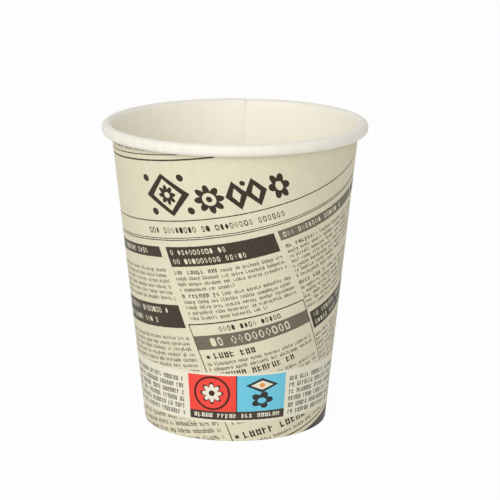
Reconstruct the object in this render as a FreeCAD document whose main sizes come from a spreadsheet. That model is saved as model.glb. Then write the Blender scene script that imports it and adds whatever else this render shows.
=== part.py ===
import FreeCAD, Part
import os
from dataclasses import dataclass
from math import acos, atan2, ceil, cos, degrees, hypot, radians, sin

import Sketcher
from FreeCAD import Placement, Rotation, Vector

# A flat-bottomed paper drinking cup, as it is wound and folded from two blanks.
# The side sheet is wrapped into a cone whose ends overlap in one lapped seam. Its upper edge is rolled
# outwards into the rim, and its lower edge is folded inwards and up into a hem.
# The base is a disc with a turned-down skirt, which the hem clamps against the inside of the wall.
# The frame: origin at the centre of the circle that the cup stands on, +Z up, the seam at the back (+Y).

SIZES = (
    ("rim_radius", 40.0, "outermost radius of the rolled rim"),
    ("cup_height", 92.0, "standing plane to the top of the rim"),
    ("foot_radius", 27.8, "outside of the wall where it turns under at the foot"),
    ("wall_sheet", 0.35, "thickness of the side sheet"),
    ("curl_radius", 1.55, "radius of the rolled rim, to the face that shows"),
    ("curl_straight", 0.5, "upright stretch on the outside of the roll"),
    ("curl_tuck", 125.0, "degrees that the roll goes on past its outermost line"),
    ("lap_angle", 9.5, "degrees of the overlap at the side seam"),
    ("ramp_angle", 5.0, "degrees over which the outer ply climbs on to the inner one"),
    ("seam_azimuth", 85.0, "degrees from +X to the cut edge inside the cup"),
    ("base_level", 8.6, "standing plane to the upper face of the base"),
    ("base_sheet", 0.32, "thickness of the base disc"),
    ("base_bend", 0.75, "outer radius of the bend from disc to skirt"),
    ("fit_clearance", 0.03, "between the skirt and the sheet on each side of it"),
    ("skirt_gap", 0.4, "from the end of the skirt to the floor of the fold"),
    ("hem_gap", 0.3, "from the end of the hem up to where the base begins to bend"),
    ("roll_side", 30.0, "most degrees of the rim's roll that one flat side takes"),
    ("bend_side", 50.0, "most degrees of a fold or bend that one flat side takes"),
)

SHEET = "Sizes"
NAMES = {alias for alias, _, _ in SIZES}

doc = FreeCAD.newDocument("paper_cup")
sheet = doc.addObject("Spreadsheet::Sheet", SHEET)
for row, (alias, value, meaning) in enumerate(SIZES, start=1):
    sheet.set(f"A{row}", meaning)
    sheet.set(f"B{row}", str(value))
    sheet.setAlias(f"B{row}", alias)
doc.recompute()


def size(alias):
    """The value of a named size, in millimetres or degrees."""
    return float(sheet.get(alias))


def bound(text):
    """An expression in size names, written out with the name of the sheet before each of them."""
    words = text.split()
    return " ".join(f"{SHEET}.{word}" if word in NAMES else word for word in words)


@dataclass(frozen=True)
class Lean:
    """The inner face of the wall: the line from the corner of the foot fold that touches the rim's roll."""

    corner: Vector
    roll: Vector
    angle: float

    @property
    def along(self):
        """Up the wall."""
        return Vector(sin(self.angle), cos(self.angle), 0)

    @property
    def out(self):
        """Square to the wall, away from the inside of the cup."""
        return Vector(cos(self.angle), -sin(self.angle), 0)

    def at_height(self, point, height):
        """Where the line through a point, parallel to the wall, reaches a height."""
        return point + self.along * ((height - point.y) / cos(self.angle))


def wall_lean():
    """Work out the lean from the radii at the foot and the rim, in the half-plane (radius, height)."""
    corner = Vector(size("foot_radius") - size("wall_sheet"), size("wall_sheet"), 0)
    roll = Vector(size("rim_radius") - size("curl_radius"), size("cup_height") - size("curl_radius"), 0)
    reach = roll - corner
    angle = acos(size("curl_radius") / hypot(reach.x, reach.y)) - atan2(reach.y, reach.x)
    return Lean(corner, roll, angle)


class Outline:
    """A closed outline in a half-plane through the cup's axis: x is the radius and y the height."""

    def __init__(self, body, name, turn):
        """Lay the sketch in the XZ plane, turned about the axis by an expression in degrees."""
        plane = next(part for part in body.Origin.OriginFeatures if part.Role == "XZ_Plane")
        self.sketch = body.newObject("Sketcher::SketchObject", name)
        self.sketch.AttachmentSupport = [(plane, "")]
        self.sketch.MapMode = "FlatFace"
        self.sketch.AttachmentOffset = Placement(Vector(), Rotation(Vector(0, 1, 0), size("seam_azimuth")))
        self.sketch.setExpression(".AttachmentOffset.Rotation.Angle", bound(turn))
        self.edges = {"origin": -1, "upright_axis": -2}
        self.sides = {}

    def line(self, name, start, end, guide=False):
        """Draw a straight edge, or a guide line that is no part of the outline."""
        self.edges[name] = self.sketch.addGeometry(Part.LineSegment(start, end), guide)

    def ring(self, name, centre, radius):
        """Draw a guide circle."""
        self.edges[name] = self.sketch.addGeometry(Part.Circle(centre, Vector(0, 0, 1), radius), True)

    def round_off(self, name, centre, radius, first, last, side):
        """Draw a round stretch, anticlockwise between two angles in radians, as equal flat sides.

        The corners lie on a guide circle of the same name. No side turns through more than the degrees
        named by side, so that the round forms keep few faces.
        """
        self.ring(name, centre, radius)
        count = ceil(degrees(last - first) / size(side))
        self.sides[name] = count
        turns = [first + (last - first) * step / count for step in range(count + 1)]
        points = [centre + Vector(cos(turn), sin(turn), 0) * radius for turn in turns]
        for step, (start, end) in enumerate(zip(points, points[1:])):
            self.line(f"{name}_{step}", start, end)
        for step in range(1, count):
            self.tie("Coincident", (f"{name}_{step - 1}", 2), (f"{name}_{step}", 1))
            self.tie("PointOnObject", (f"{name}_{step}", 1), name)
            self.tie("Equal", f"{name}_{step - 1}", f"{name}_{step}")

    def run_in(self, edge, end, name, at_end):
        """Let a straight edge touch the guide circle of a round stretch where the stretch ends."""
        side = self.sides[name] - 1 if at_end else 0
        self.tie("Tangent", (edge, end), name)
        self.tie("Coincident", (edge, end), (f"{name}_{side}", 2 if at_end else 1))

    def cut_off(self, edge, end, name):
        """End a straight edge on the guide circle of a round stretch, where the stretch starts."""
        self.tie("PointOnObject", (edge, end), name)
        self.tie("Coincident", (edge, end), (f"{name}_0", 1))

    def tie(self, kind, *places):
        """Relate edges, each place being an edge's name or a pair of its name and one of its points."""
        where = []
        for place in places:
            name, *point = (place,) if isinstance(place, str) else place
            where += [self.edges[name], *point]
        self.sketch.addConstraint(Sketcher.Constraint(kind, *where))

    def measure(self, label, kind, places, value, text):
        """Give a dimension its value, and bind it to an expression in size names."""
        where = []
        for place in places:
            name, *point = (place,) if isinstance(place, str) else place
            where += [self.edges[name], *point]
        index = self.sketch.addConstraint(Sketcher.Constraint(kind, *where, value))
        self.sketch.renameConstraint(index, label)
        self.sketch.setExpression(f"Constraints.{label}", bound(text))

    def corner(self, *pairs):
        """Put two points on each other, for each pair."""
        for first, second in pairs:
            self.tie("Coincident", first, second)

    def guide_wall(self, lean):
        """Draw the wall's inner face as a guide: from the fold's corner to where it touches the roll."""
        touch = lean.roll - lean.out * size("curl_radius")
        self.ring("roll", lean.roll, size("curl_radius"))
        self.line("wall_guide", lean.corner, touch, guide=True)
        radius = "rim_radius - curl_radius"
        height = "cup_height - curl_radius"
        self.measure("roll_out", "DistanceX", [("origin", 1), ("roll", 3)], lean.roll.x, radius)
        self.measure("roll_up", "DistanceY", [("origin", 1), ("roll", 3)], lean.roll.y, height)
        self.measure("roll_radius", "Radius", ["roll"], size("curl_radius"), "curl_radius")
        corner = [("origin", 1), ("wall_guide", 1)]
        self.measure("corner_out", "DistanceX", corner, lean.corner.x, "foot_radius - wall_sheet")
        self.measure("corner_up", "DistanceY", corner, lean.corner.y, "wall_sheet")
        self.tie("Tangent", ("wall_guide", 2), "roll")


def ply_section(body, name, ply, turn, lean):
    """Section of the side sheet from the end of its hem to the end of its rolled rim.

    Ply 0 lies inside. Ply 1 lies on the outside of it all the way: outside the wall, inside the hem and
    inside the roll. Both are pressed to one thickness under the foot, so that the cup stands level.
    """
    thick = size("wall_sheet")
    outer_roll = size("curl_radius") - ply * thick
    inner_roll = outer_roll - thick
    gap = size("base_sheet") + 2 * size("fit_clearance")
    gap_text = "base_sheet + 2 * fit_clearance"
    hem_end = size("base_level") - size("base_bend") - size("hem_gap")
    upper = lean.roll
    lower = upper - Vector(0, size("curl_straight"), 0)
    level = Vector(1, 0, 0)
    tuck = radians(-size("curl_tuck"))
    tucked = Vector(cos(tuck), sin(tuck), 0)
    up_the_wall = radians(180) - lean.angle
    wall_foot = lean.at_height(upper - lean.out * outer_roll, thick)
    hem_foot = lean.at_height(lean.corner - lean.out * (gap + ply * thick), thick)
    hem_top = lean.at_height(hem_foot, hem_end)
    down = Vector(0, -thick, 0)

    outline = Outline(body, name, turn)
    outline.guide_wall(lean)
    outline.line("hem_cut", hem_top - lean.out * thick, hem_top)
    outline.line("hem_skirt_face", hem_top, hem_foot)
    outline.line("fold_floor", hem_foot, wall_foot)
    outline.line("wall_inside", wall_foot, upper - lean.out * outer_roll)
    outline.round_off("roll_over", upper, outer_roll, 0, up_the_wall, "roll_side")
    outline.line("roll_outside", upper + level * outer_roll, lower + level * outer_roll)
    outline.round_off("roll_under", lower, outer_roll, tuck, 0, "roll_side")
    outline.line("roll_cut", lower + tucked * outer_roll, lower + tucked * inner_roll)
    outline.round_off("roll_under_inner", lower, inner_roll, tuck, 0, "roll_side")
    outline.line("roll_outside_inner", lower + level * inner_roll, upper + level * inner_roll)
    outline.round_off("roll_over_inner", upper, inner_roll, 0, up_the_wall, "roll_side")
    outline.line("wall_outside", upper - lean.out * inner_roll, wall_foot + lean.out * thick)
    outline.round_off("fold_outer", wall_foot, thick, radians(-90), -lean.angle, "bend_side")
    outline.line("fold_under", wall_foot + down, hem_foot + down)
    outline.round_off("fold_inner", hem_foot, thick, up_the_wall, radians(270), "bend_side")
    outline.line("hem_axis_face", hem_foot - lean.out * thick, hem_top - lean.out * thick)

    outline.corner(
        [("hem_cut", 2), ("hem_skirt_face", 1)],
        [("hem_skirt_face", 2), ("fold_floor", 1)],
        [("fold_floor", 2), ("wall_inside", 1)],
        [("hem_axis_face", 2), ("hem_cut", 1)],
        [("roll_over", 3), ("roll", 3)],
        [("roll_over_inner", 3), ("roll", 3)],
        [("roll_under_inner", 3), ("roll_under", 3)],
        [("fold_outer", 3), ("wall_inside", 1)],
        [("fold_inner", 3), ("hem_skirt_face", 2)],
    )
    outline.run_in("wall_inside", 2, "roll_over", at_end=True)
    outline.run_in("roll_outside", 1, "roll_over", at_end=False)
    outline.run_in("roll_outside", 2, "roll_under", at_end=True)
    outline.cut_off("roll_cut", 1, "roll_under")
    outline.cut_off("roll_cut", 2, "roll_under_inner")
    outline.run_in("roll_outside_inner", 1, "roll_under_inner", at_end=True)
    outline.run_in("roll_outside_inner", 2, "roll_over_inner", at_end=False)
    outline.run_in("wall_outside", 1, "roll_over_inner", at_end=True)
    outline.run_in("wall_outside", 2, "fold_outer", at_end=True)
    outline.run_in("fold_under", 1, "fold_outer", at_end=False)
    outline.run_in("fold_under", 2, "fold_inner", at_end=True)
    outline.run_in("hem_axis_face", 1, "fold_inner", at_end=False)
    outline.tie("Horizontal", "fold_floor")
    outline.tie("Horizontal", "fold_under")
    outline.tie("Vertical", "roll_outside")
    outline.tie("Vertical", "roll_outside_inner")
    outline.tie("Parallel", "wall_inside", "wall_guide")
    outline.tie("Parallel", "hem_skirt_face", "wall_guide")
    outline.tie("Perpendicular", "hem_cut", "hem_skirt_face")
    outline.tie("Equal", "roll_over", "roll_under")
    outline.tie("PointOnObject", ("roll_under", 3), "roll_cut")

    roll_text = f"curl_radius - {ply} * wall_sheet"
    outline.measure("roll_size", "Radius", ["roll_over"], outer_roll, roll_text)
    outline.measure("roll_straight", "Distance", ["roll_outside"], size("curl_straight"), "curl_straight")
    outline.measure("roll_sheet", "Distance", ["roll_cut"], thick, "wall_sheet")
    outline.measure("hem_sheet", "Distance", ["hem_cut"], thick, "wall_sheet")
    outline.measure("fold_sheet", "Radius", ["fold_outer"], thick, "wall_sheet")
    outline.measure("roll_end", "Angle", ["roll_cut"], radians(180) + tuck, "180 - curl_tuck")
    foot = [("origin", 1), ("wall_inside", 1)]
    outline.measure("floor_up", "DistanceY", foot, thick, "wall_sheet")
    hem = [("origin", 1), ("hem_skirt_face", 1)]
    outline.measure("hem_up", "DistanceY", hem, hem_end, "base_level - base_bend - hem_gap")
    skirt = [("wall_guide", 1), "hem_skirt_face"]
    outline.measure("skirt_room", "Distance", skirt, gap + ply * thick, f"{gap_text} + {ply} * wall_sheet")
    return outline.sketch


def base_section(body, turn, lean):
    """Section of the base from the axis, over the bend, to the end of the skirt that the hem clamps."""
    thick = size("base_sheet")
    bend = size("base_bend")
    level = size("base_level")
    skirt_end = size("wall_sheet") + size("skirt_gap")
    skirt_line = lean.corner - lean.out * size("fit_clearance")
    centre = lean.at_height(skirt_line - lean.out * bend, level - bend)
    tip = lean.at_height(skirt_line, skirt_end)
    upright = radians(90)
    top = Vector(centre.x, level, 0)
    drop = Vector(0, -thick, 0)
    on_axis = Vector(0, level, 0)

    outline = Outline(body, "base_edge", turn)
    outline.guide_wall(lean)
    outline.line("top_face", on_axis, top)
    outline.round_off("bend_outer", centre, bend, -lean.angle, upright, "bend_side")
    outline.line("skirt_outside", centre + lean.out * bend, tip)
    outline.line("skirt_cut", tip, tip - lean.out * thick)
    outline.line("skirt_inside", tip - lean.out * thick, centre + lean.out * (bend - thick))
    outline.round_off("bend_inner", centre, bend - thick, -lean.angle, upright, "bend_side")
    outline.line("underside", top + drop, on_axis + drop)
    outline.line("middle", on_axis + drop, on_axis)

    outline.corner(
        [("skirt_outside", 2), ("skirt_cut", 1)],
        [("skirt_cut", 2), ("skirt_inside", 1)],
        [("underside", 2), ("middle", 1)],
        [("middle", 2), ("top_face", 1)],
        [("bend_inner", 3), ("bend_outer", 3)],
    )
    outline.run_in("top_face", 2, "bend_outer", at_end=True)
    outline.run_in("skirt_outside", 1, "bend_outer", at_end=False)
    outline.run_in("skirt_inside", 2, "bend_inner", at_end=False)
    outline.run_in("underside", 1, "bend_inner", at_end=True)
    outline.tie("Horizontal", "top_face")
    outline.tie("Horizontal", "underside")
    outline.tie("Vertical", "middle")
    outline.tie("PointOnObject", ("middle", 1), "upright_axis")
    outline.tie("Parallel", "skirt_outside", "wall_guide")
    outline.tie("Parallel", "skirt_inside", "skirt_outside")
    outline.tie("Perpendicular", "skirt_cut", "skirt_outside")

    outline.measure("bend_radius", "Radius", ["bend_outer"], bend, "base_bend")
    outline.measure("skirt_sheet", "Distance", ["skirt_cut"], thick, "base_sheet")
    skirt = [("wall_guide", 1), "skirt_outside"]
    outline.measure("skirt_fit", "Distance", skirt, size("fit_clearance"), "fit_clearance")
    level_at = [("origin", 1), ("top_face", 1)]
    outline.measure("level_up", "DistanceY", level_at, level, "base_level")
    tip_at = [("origin", 1), ("skirt_outside", 2)]
    outline.measure("tip_up", "DistanceY", tip_at, skirt_end, "wall_sheet + skirt_gap")
    return outline.sketch


def revolve(body, name, sketch, turn):
    """Turn an outline about the cup's axis, through an angle given by an expression in degrees."""
    solid = body.newObject("PartDesign::Revolution", name)
    solid.Profile = sketch
    solid.ReferenceAxis = (sketch, ["V_Axis"])
    solid.setExpression("Angle", bound(turn))
    return solid


def make_side_wall(lean):
    """The side sheet: once round the cup, up a short ramp, then over its own beginning at the seam."""
    body = doc.addObject("PartDesign::Body", "side_wall")
    body.Label = "side_wall"

    cut_edge = ply_section(body, "inner_cut_edge", 0, "seam_azimuth", lean)
    revolve(body, "once_round", cut_edge, "360 - ramp_angle")

    ramp_foot = ply_section(body, "ramp_foot", 0, "seam_azimuth - ramp_angle", lean)
    ramp_head = ply_section(body, "ramp_head", 1, "seam_azimuth", lean)
    ramp = body.newObject("PartDesign::AdditiveLoft", "ramp")
    ramp.Profile = ramp_foot
    ramp.Sections = [ramp_head]
    ramp.Ruled = True

    body.Tip = revolve(body, "lap", ramp_head, "lap_angle")
    body.Placement = Placement()
    return body


def make_base_disc(lean):
    """The base: a disc with a turned-down skirt that follows the lean of the wall."""
    body = doc.addObject("PartDesign::Body", "base_disc")
    body.Label = "base_disc"
    body.Tip = revolve(body, "pressed_disc", base_section(body, "seam_azimuth", lean), "360")
    body.Placement = Placement()
    return body


def check_document():
    """Stop where a feature failed or a sketch was left loose."""
    for item in doc.Objects:
        if {"Invalid", "Error"} & set(item.State):
            raise RuntimeError(f"{item.Name} failed: {item.State}")
        if item.TypeId == "Sketcher::SketchObject" and not item.FullyConstrained:
            raise RuntimeError(f"{item.Name} isn't fully constrained")


def export(body):
    """Check that a piece is one sound solid, and write it under its own name."""
    shape = body.Shape
    if shape.isNull() or not shape.isValid() or len(shape.Solids) != 1:
        raise RuntimeError(f"{body.Label} isn't one valid solid")
    box = shape.BoundBox
    print(f"{body.Label}: {shape.Volume:.1f} mm3, {len(shape.Faces)} faces, z {box.ZMin:.3f} to {box.ZMax:.3f}")
    shape.exportStep(f"parts/{body.Label}.step")


lean = wall_lean()
pieces = [make_side_wall(lean), make_base_disc(lean)]
doc.recompute()
check_document()
os.makedirs("parts", exist_ok=True)
for piece in pieces:
    export(piece)
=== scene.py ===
"""A paper drinking cup with a lapped seam, a rolled rim and a clamped base, printed all round as newsprint.

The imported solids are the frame. Each piece here is worked out again as a fine surface from the same sizes,
so that it shows the true folds, the two plies at the seam, the cut edges and the print.
"""

import logging
import math
from dataclasses import dataclass
from enum import Enum

import bpy
import numpy as np
from mathutils import Matrix, Vector


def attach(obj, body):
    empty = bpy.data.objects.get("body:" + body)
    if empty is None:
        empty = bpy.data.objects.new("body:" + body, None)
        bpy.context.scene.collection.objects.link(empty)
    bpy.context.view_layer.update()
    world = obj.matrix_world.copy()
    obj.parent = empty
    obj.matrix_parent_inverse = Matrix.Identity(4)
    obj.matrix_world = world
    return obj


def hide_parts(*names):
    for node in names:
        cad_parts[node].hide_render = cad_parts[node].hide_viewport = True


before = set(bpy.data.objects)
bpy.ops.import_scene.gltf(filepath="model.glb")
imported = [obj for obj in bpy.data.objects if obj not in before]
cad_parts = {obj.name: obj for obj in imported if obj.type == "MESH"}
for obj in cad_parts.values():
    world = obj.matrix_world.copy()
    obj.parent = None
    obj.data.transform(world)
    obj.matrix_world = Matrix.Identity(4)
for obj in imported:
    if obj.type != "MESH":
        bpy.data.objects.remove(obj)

logging.basicConfig(level=logging.INFO, format="%(name)s: %(message)s")
log = logging.getLogger("paper_cup")

MM = 0.001
WHITE = (1.0, 1.0, 1.0, 1.0)
PRINTED, COATED, EDGE = range(3)
FRONT = 270.0
SHARP = 40.0
PAGE_TOP = 372.0
ROW_TILT, COLUMN_TILT = math.radians(21.2), math.radians(10.2)
BAKE_FRONT = (0.01, 0.99, 0.47, 0.99)
BAKE_BACK_LEFT = (0.01, 0.46, 0.14, 0.45)
BAKE_BACK_RIGHT = (0.48, 0.99, 0.14, 0.45)
BAKE_INSIDE = (0.01, 0.99, 0.02, 0.12)
BAKE_CUT_LOW, BAKE_CUT_HEIGHT, BAKE_CUT_STEP = 0.001, 0.003, 0.004


@dataclass(frozen=True)
class CupSizes:
    """Driving sizes of the cup, in millimetres and degrees, the same as those of the solids."""

    rim_radius: float = 40.0
    height: float = 92.0
    foot_radius: float = 27.8
    sheet: float = 0.35
    curl_radius: float = 1.55
    curl_straight: float = 0.5
    curl_tuck: float = 125.0
    lap: float = 9.5
    ramp: float = 5.0
    seam: float = 85.0
    base_level: float = 8.6
    base_sheet: float = 0.32
    base_bend: float = 0.75
    fit: float = 0.03
    skirt_gap: float = 0.4
    hem_gap: float = 0.3
    fold_inside: float = 0.08
    ply_gap: float = 0.02

    @property
    def roll(self) -> tuple[float, float]:
        """Centre of the rim's roll, as radius and height."""
        return self.rim_radius - self.curl_radius, self.height - self.curl_radius

    @property
    def corner(self) -> tuple[float, float]:
        """Where the wall's inner face would meet the floor of the foot fold."""
        return self.foot_radius - self.sheet, self.sheet

    @property
    def lean(self) -> float:
        """Angle in radians between the wall and the axis."""
        reach = np.subtract(self.roll, self.corner)
        return math.acos(self.curl_radius / math.hypot(*reach)) - math.atan2(reach[1], reach[0])

    @property
    def hem_end(self) -> float:
        """Height of the hem's upper edge."""
        return self.base_level - self.base_bend - self.hem_gap

    @property
    def skirt_room(self) -> float:
        """Distance between the wall and the hem, which the skirt fills."""
        return self.base_sheet + 2 * self.fit

    @property
    def step(self) -> float:
        """How far the outer ply stands off the inner one at the seam."""
        return self.sheet + self.ply_gap


def smooth(x: np.ndarray | float) -> np.ndarray:
    """Rise softly from 0 to 1 while x goes from 0 to 1."""
    x = np.clip(x, 0.0, 1.0)
    return x * x * (3 - 2 * x)


def srgb(red: int, green: int, blue: int) -> tuple[float, float, float, float]:
    """Turn an 8-bit display colour into the linear one that a shader takes.

    Args:
        red: red, from 0 to 255.
        green: green, from 0 to 255.
        blue: blue, from 0 to 255.

    Returns:
        The linear colour, with an alpha of 1.
    """
    shares = (channel / 255 for channel in (red, green, blue))
    linear = (s / 12.92 if s <= 0.04045 else ((s + 0.055) / 1.055) ** 2.4 for s in shares)
    return (*linear, 1.0)


def arc(
    centre: tuple, radius: np.ndarray, start: float, end: float, count: int, change: np.ndarray
) -> tuple[np.ndarray, np.ndarray]:
    """Arcs in the half-plane of radius and height: centre + (radius + share * change) * (cos, sin).

    Args:
        centre: radius and height of each arc's centre.
        radius: radius of each arc, one row each.
        start: first angle in radians.
        end: last angle in radians.
        count: number of points on an arc.
        change: how much each arc's radius grows from its start to its end.

    Returns:
        Radius and height of the points, one row for each arc.
    """
    angle = np.linspace(start, end, count)[None, :]
    reach = radius + change * np.linspace(0, 1, count)[None, :]
    return centre[0] + reach * np.cos(angle), centre[1] + reach * np.sin(angle)


Socket = bpy.types.NodeSocket
Number = float | Socket
Triple = tuple[float, float, float] | Socket
Three = tuple[Socket, Socket, Socket]


class Shader:
    """The nodes of a material or of the world, as expressions: a method adds a node and returns its result.

    A mask is 1 in its area and 0 elsewhere.
    """

    def __init__(self, owner: bpy.types.Material | bpy.types.World) -> None:
        """Start with no nodes.

        Args:
            owner: the material or the world.
        """
        owner.use_nodes = True
        self.owner = owner
        self.tree = owner.node_tree
        self.tree.nodes.clear()

    @classmethod
    def named(cls, name: str) -> "Shader":
        """Start a new material."""
        return cls(bpy.data.materials.new(name))

    def add(self, kind: str, inputs: dict, result: str | int = 0, **settings) -> Socket:
        """Add one node.

        Args:
            kind: the node's type without its ShaderNode prefix.
            inputs: a number, colour or other node's result for each named or numbered input.
            result: the output to return.
            settings: properties of the node.

        Returns:
            The chosen output.
        """
        node = self.tree.nodes.new(f"ShaderNode{kind}")
        for name, value in settings.items():
            setattr(node, name, value)
        for name, value in inputs.items():
            if isinstance(value, Socket):
                self.tree.links.new(value, node.inputs[name])
            else:
                node.inputs[name].default_value = value
        return node.outputs[result] if node.outputs else None

    def math(self, operation: str, *values: Number) -> Socket:
        """Combine numbers."""
        return self.add("Math", dict(enumerate(values)), operation=operation)

    def times(self, first: Number, second: Number) -> Socket:
        """Multiply two numbers, or keep one mask within another."""
        return self.math("MULTIPLY", first, second)

    def most(self, first: Number, second: Number) -> Socket:
        """The larger of two numbers, or two masks as one."""
        return self.math("MAXIMUM", first, second)

    def line(self, x: Number, slope: Number, start: Number) -> Socket:
        """The number x * slope + start."""
        return self.math("MULTIPLY_ADD", x, slope, start)

    def weigh(self, first: Socket, weight: float, second: Socket, other: float) -> Socket:
        """Add two numbers, each times its own weight."""
        return self.line(first, weight, self.times(second, other))

    def vector(self, operation: str, *values: Triple) -> Socket:
        """Combine vectors into a vector."""
        return self.add("VectorMath", dict(enumerate(values)), operation=operation)

    def scale(self, vector: Triple, by: Number) -> Socket:
        """Scale a vector."""
        return self.add("VectorMath", {0: vector, "Scale": by}, operation="SCALE")

    def measure(self, operation: str, *values: Triple) -> Socket:
        """Combine vectors into a number, such as a length or a dot product."""
        return self.add("VectorMath", dict(enumerate(values)), "Value", operation=operation)

    def parts(self, vector: Triple) -> Three:
        """Split a vector."""
        return tuple(self.add("SeparateXYZ", {0: vector}).node.outputs)

    def join(self, x: Number = 0.0, y: Number = 0.0, z: Number = 0.0) -> Socket:
        """Make a vector."""
        return self.add("CombineXYZ", {0: x, 1: y, 2: z})

    def near(self, value: Number, middle: Number, reach: Number) -> Socket:
        """1 where a value is within reach of a middle, else 0."""
        return self.math("COMPARE", value, middle, reach)

    def between(self, value: Number, low: float, high: float) -> Socket:
        """1 between two values, else 0."""
        return self.near(value, (low + high) / 2, (high - low) / 2)

    def invert(self, value: Number) -> Socket:
        """1 minus a value."""
        return self.math("SUBTRACT", 1.0, value)

    def spread(self, x: Number, low: float, high: float, first: float = 0.0, last: float = 1.0) -> Socket:
        """Map the range from low to high on to another, and clamp."""
        return self.add("MapRange", {"Value": x, 1: low, 2: high, 3: first, 4: last})

    def even(self, noise: Socket) -> Socket:
        """Stretch the middle of a noise over the range from 0 to 1."""
        return self.spread(noise, 0.35, 0.65)

    def blend(self, share: Number, first: Triple, second: Triple) -> Socket:
        """Blend two colours, by how much of the second one there is."""
        return self.add("Mix", {0: share, 6: first, 7: second}, 2, data_type="RGBA")

    def noise(self, place: Triple, scale: float, detail: float = 2.0, roughness: float = 0.5) -> Socket:
        """Soft noise from 0 to 1, with its scale in features for each unit of the place."""
        inputs = {"Vector": place, "Scale": scale, "Detail": detail, "Roughness": roughness}
        return self.add("TexNoise", inputs)

    def chance(self, place: Triple) -> Three:
        """Three even random numbers for each different place."""
        return self.parts(self.add("TexWhiteNoise", {"Vector": place}, "Color", noise_dimensions="3D"))

    def attribute(self, name: str) -> Socket:
        """A vector kept on the piece's points."""
        return self.add("Attribute", {}, "Vector", attribute_name=name)

    def millimetres(self) -> Socket:
        """Place on the object, in millimetres."""
        return self.scale(self.add("TexCoord", {}, "Object"), 1 / MM)

    def bump(self, height: Number, strength: float, distance: float) -> Socket:
        """A normal for a height field, with its distance in millimetres."""
        return self.add("Bump", {"Strength": strength, "Distance": distance * MM, "Height": height})

    def seen(self) -> Socket:
        """1 for what the camera sees, straight, in a reflection or through glass, else 0.

        Returns:
            The mask.
        """
        path = self.add("LightPath", {}).node.outputs
        seen = self.most(path["Is Camera Ray"], path["Is Glossy Ray"])
        return self.most(seen, path["Is Transmission Ray"])

    def finish(self, **inputs) -> bpy.types.Material:
        """Close the tree with a principled surface.

        Args:
            inputs: the surface's inputs, with spaces in their names written as underscores.

        Returns:
            The material.
        """
        named = {name.replace("_", " "): value for name, value in inputs.items()}
        self.add("OutputMaterial", {"Surface": self.add("BsdfPrincipled", named)})
        return self.owner


def build_mesh(name: str, points: np.ndarray, quads: np.ndarray, slots: np.ndarray) -> bpy.types.Object:
    """Make an object from corner points in millimetres.

    Args:
        name: name of the piece.
        points: corner points, one row each.
        quads: indices of each face's corners, one row each.
        slots: the material slot of each face.

    Returns:
        The new object, at the origin and smooth except along its sharp edges.
    """
    mesh = bpy.data.meshes.new(name)
    mesh.from_pydata(points * MM, [], quads)
    mesh.polygons.foreach_set("material_index", slots.astype(np.int32))
    mesh.shade_smooth()
    mesh.set_sharp_from_angle(angle=math.radians(SHARP))
    mesh.update()
    piece = bpy.data.objects.new(name, mesh)
    bpy.context.scene.collection.objects.link(piece)
    return piece


class Setting(Enum):
    """How the lines of a block are set."""

    SMALL = 0.0
    STRONG = 0.5
    CAPITALS = 0.75
    ORNAMENT = 1.0


class Form(Enum):
    """The outline of one simple printed shape."""

    DISC = "disc"
    LOZENGE = "lozenge"
    ROSETTE = "rosette"


@dataclass(frozen=True)
class Block:
    """A box of print in millimetres: a ground of ink, printed lines, or lines bare in the ground."""

    left: float
    right: float
    top: float
    bottom: float
    lines: int = 0
    setting: Setting = Setting.SMALL
    cell: float = 0.72
    ground: float = 0.0


@dataclass(frozen=True)
class Shape:
    """One simple shape: its middle and half sizes in millimetres, printed or cut out of the last ones."""

    form: Form
    across: float
    down: float
    half_width: float
    half_height: float
    erase: bool = False
    petals: int = 8


PAGE_LEFT, PAGE_RIGHT, PAGE_SEED = -74.3, 31.0, 13.7
PITCH = 1.75
DARK = 0.98
GREY = 0.82


def text(left: float, right: float, top: float, lines: int) -> Block:
    """Lines of small dummy text."""
    return Block(left, right, top, top + lines * PITCH, lines)


def strong(left: float, right: float, top: float, cell: float = 1.1) -> Block:
    """One line of heavier dummy text, as high as a line of text."""
    return Block(left, right, top, top + PITCH, 1, Setting.STRONG, cell)


def capitals(left: float, right: float, top: float, height: float, cell: float) -> Block:
    """One line of heavy dummy marks of even height."""
    return Block(left, right, top, top + height, 1, Setting.CAPITALS, cell)


def row(left: float, right: float, top: float, height: float) -> Block:
    """One row of ornaments for a heading, cut to whole ornaments.

    Args:
        left: left end, in millimetres.
        right: right end, before it is cut.
        top: upper edge.
        height: height of the row.

    Returns:
        The row.
    """
    cell = 0.67 * height
    right = left + round((right - left) / cell) * cell
    return Block(left, right, top, top + height, 1, Setting.ORNAMENT, cell)


def bar(left: float, right: float, top: float, bottom: float, ground: float = DARK) -> Block:
    """A ground of ink, or a rule where it is thin."""
    return Block(left, right, top, bottom, ground=ground)


UPPER_PAGE = (
    text(-118, -12.5, 8.4, 3),
    bar(-118, -12, 14.3, 14.6),
    bar(-118, -12, 15.9, 16.4),
    bar(-130, 130, 34.6, 34.95),
    bar(-130, 130, 39.95, 40.2),
    bar(-130, 130, 40.55, 40.85),
    row(-42.3, 0.8, 36.6, 2.1),
    row(-108, -84, 19.5, 3.4),
    text(-108, -78, 24.0, 5),
)

LEFT_COLUMN = (
    bar(-74, -40.3, 42.8, 46.1),
    row(-72.8, -46, 43.5, 1.9),
    text(-74, -40.6, 49.2, 6),
    bar(-74, -40.3, 61.0, 68.3),
    row(-72.8, -44, 61.9, 2.0),
    row(-72.8, -50, 65.2, 2.0),
    text(-74, -40.6, 70.6, 7),
    strong(-74, -56, 83.6),
    text(-55, -40.6, 83.6, 1),
    text(-74, -40.6, 85.4, 6),
    Block(-74, -41.7, 93.4, 121.0, 12, cell=0.78),
)

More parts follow.
